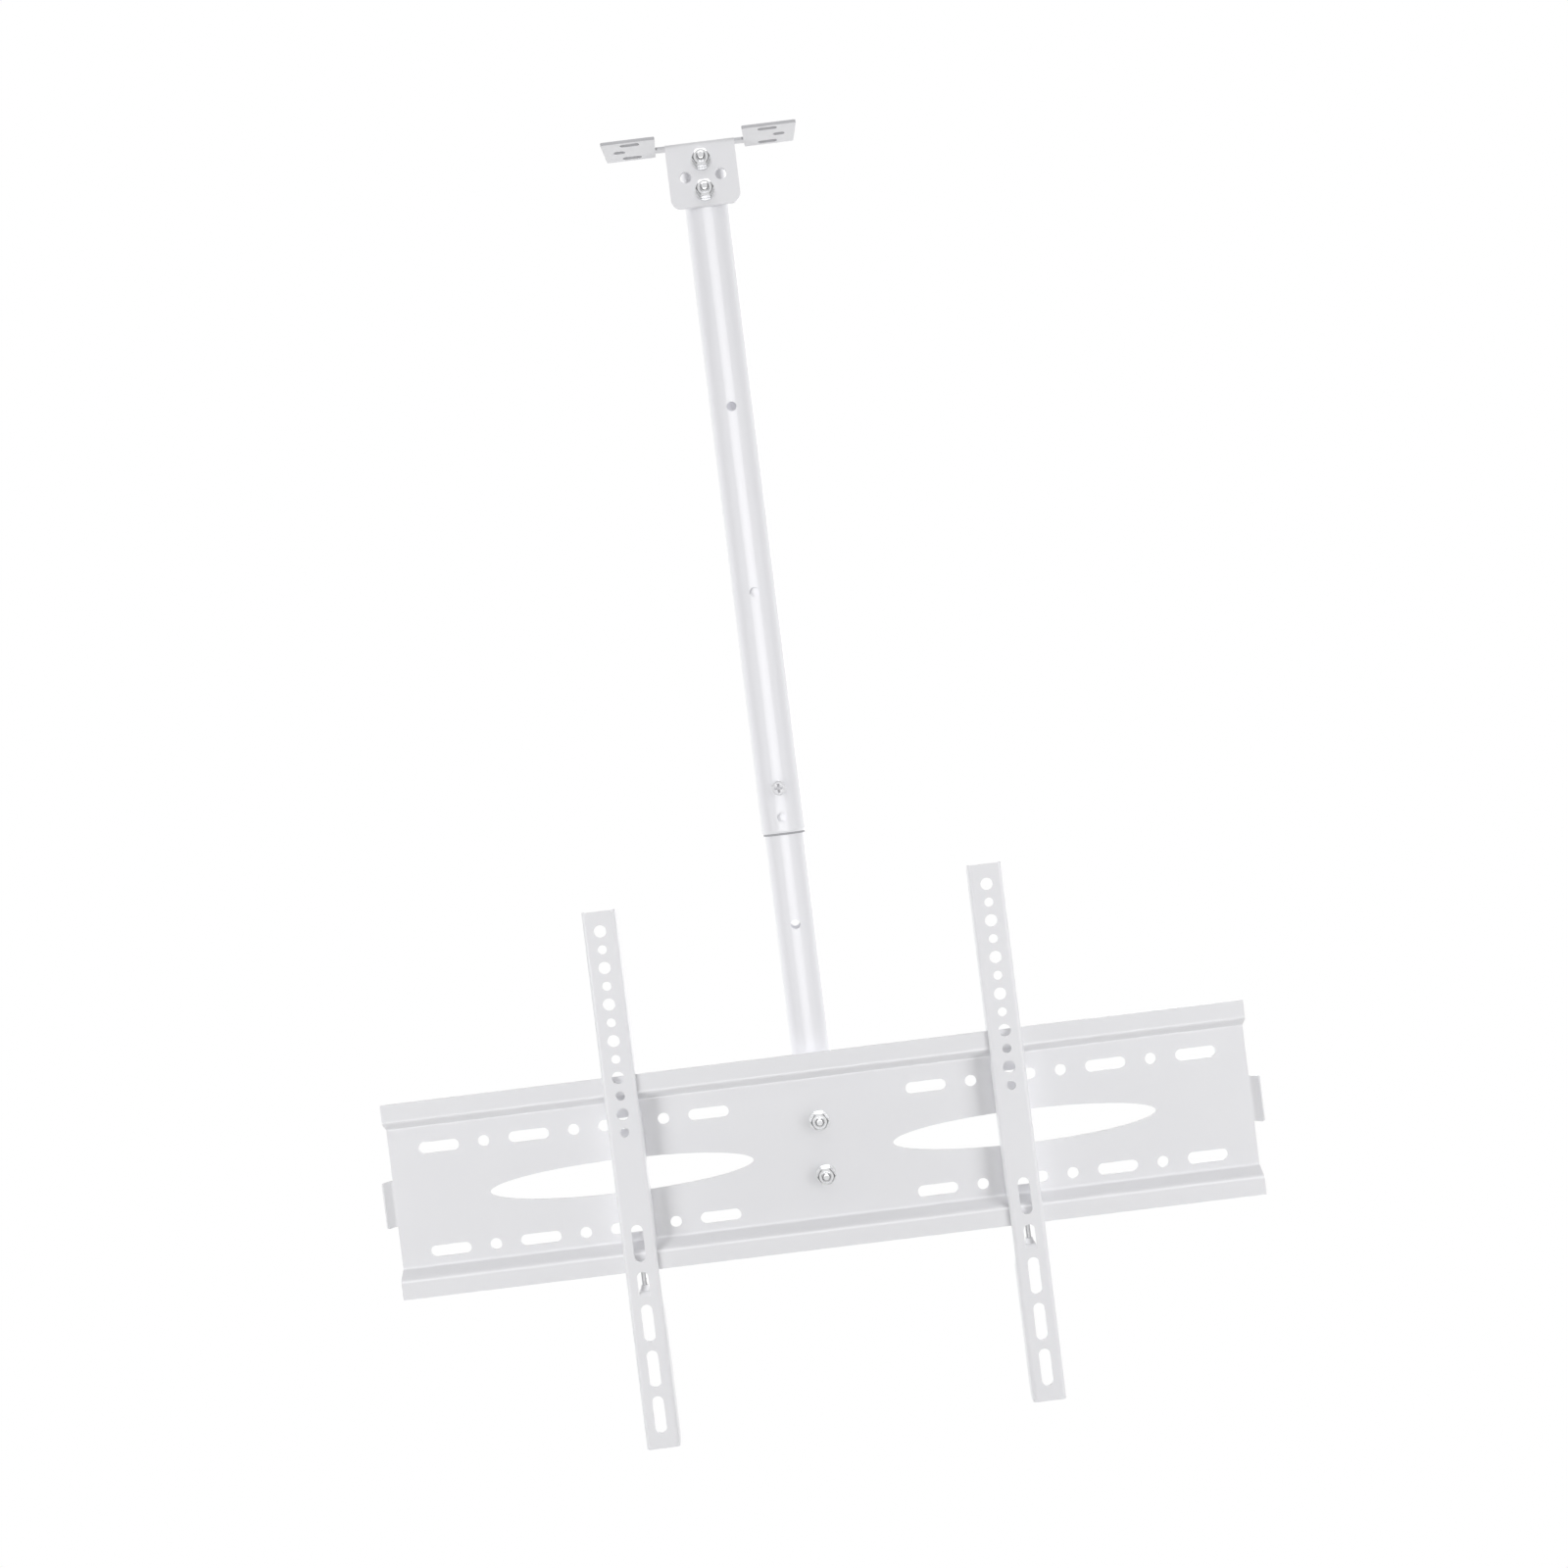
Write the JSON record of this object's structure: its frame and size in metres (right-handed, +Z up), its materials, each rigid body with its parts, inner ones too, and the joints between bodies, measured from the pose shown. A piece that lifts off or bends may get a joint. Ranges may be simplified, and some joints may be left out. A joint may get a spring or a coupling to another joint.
{
  "type": "tv ceiling mount",
  "caption": "Ceiling mount for a flat screen: a folded ceiling bracket, a telescopic round pole, a wide slotted plate with stepped rails, and hooked channel arms that slide along it.",
  "frame": {"origin": "centre of the ceiling bracket's four slots, on the ceiling plane", "axes": "+Z up into the ceiling and along the pole, +X to the right along the screen plate, -Y towards the screen"},
  "size_m": [0.726, 0.063, 1.0585],
  "materials": {
    "coated_sheet": "white powder coat on folded steel sheet, satin",
    "coated_tube": "white powder coat on steel tube, smooth satin",
    "coated_screw": "white coated screw head, satin",
    "zinc_steel": "bright zinc plate on steel fasteners",
    "plug_plastic": "moulded white plastic, fine matt",
    "bush_plastic": "moulded grey bearing plastic, smooth matt"
  },
  "bodies": {
    "ceiling": {"ceiling_bracket": "coated_sheet", "outer_tube": "coated_tube", "guide_bush": "bush_plastic", "height_lock_screw": "coated_screw", "upper_pole_bolt": "zinc_steel", "upper_pole_saddle": "zinc_steel", "upper_pole_washer": "zinc_steel", "upper_pole_nut": "zinc_steel", "lower_pole_bolt": "zinc_steel", "lower_pole_saddle": "zinc_steel", "lower_pole_washer": "zinc_steel", "lower_pole_nut": "zinc_steel"},
    "drop": {"inner_tube": "coated_tube", "inner_tube_plug": "plug_plastic", "tv_plate": "coated_sheet", "upper_plate_bolt": "zinc_steel", "upper_plate_saddle": "zinc_steel", "upper_plate_washer": "zinc_steel", "upper_plate_nut": "zinc_steel", "lower_plate_bolt": "zinc_steel", "lower_plate_saddle": "zinc_steel", "lower_plate_washer": "zinc_steel", "lower_plate_nut": "zinc_steel"},
    "left_hanger": {"left_arm": "coated_sheet", "left_safety_screw": "zinc_steel"},
    "right_hanger": {"right_arm": "coated_sheet", "right_safety_screw": "zinc_steel"}
  },
  "joints": [
    {"name": "height_slide", "type": "slide", "parent": "ceiling", "child": "drop", "axis": [0, 0, -1], "range_m": [-0.15, 0.12]},
    {"name": "left_arm_slide", "type": "slide", "parent": "drop", "child": "left_hanger", "axis": [-1, 0, 0], "range_m": [-0.133, 0.181]},
    {"name": "right_arm_slide", "type": "slide", "parent": "drop", "child": "right_hanger", "axis": [1, 0, 0], "range_m": [-0.133, 0.181]}
  ]
}
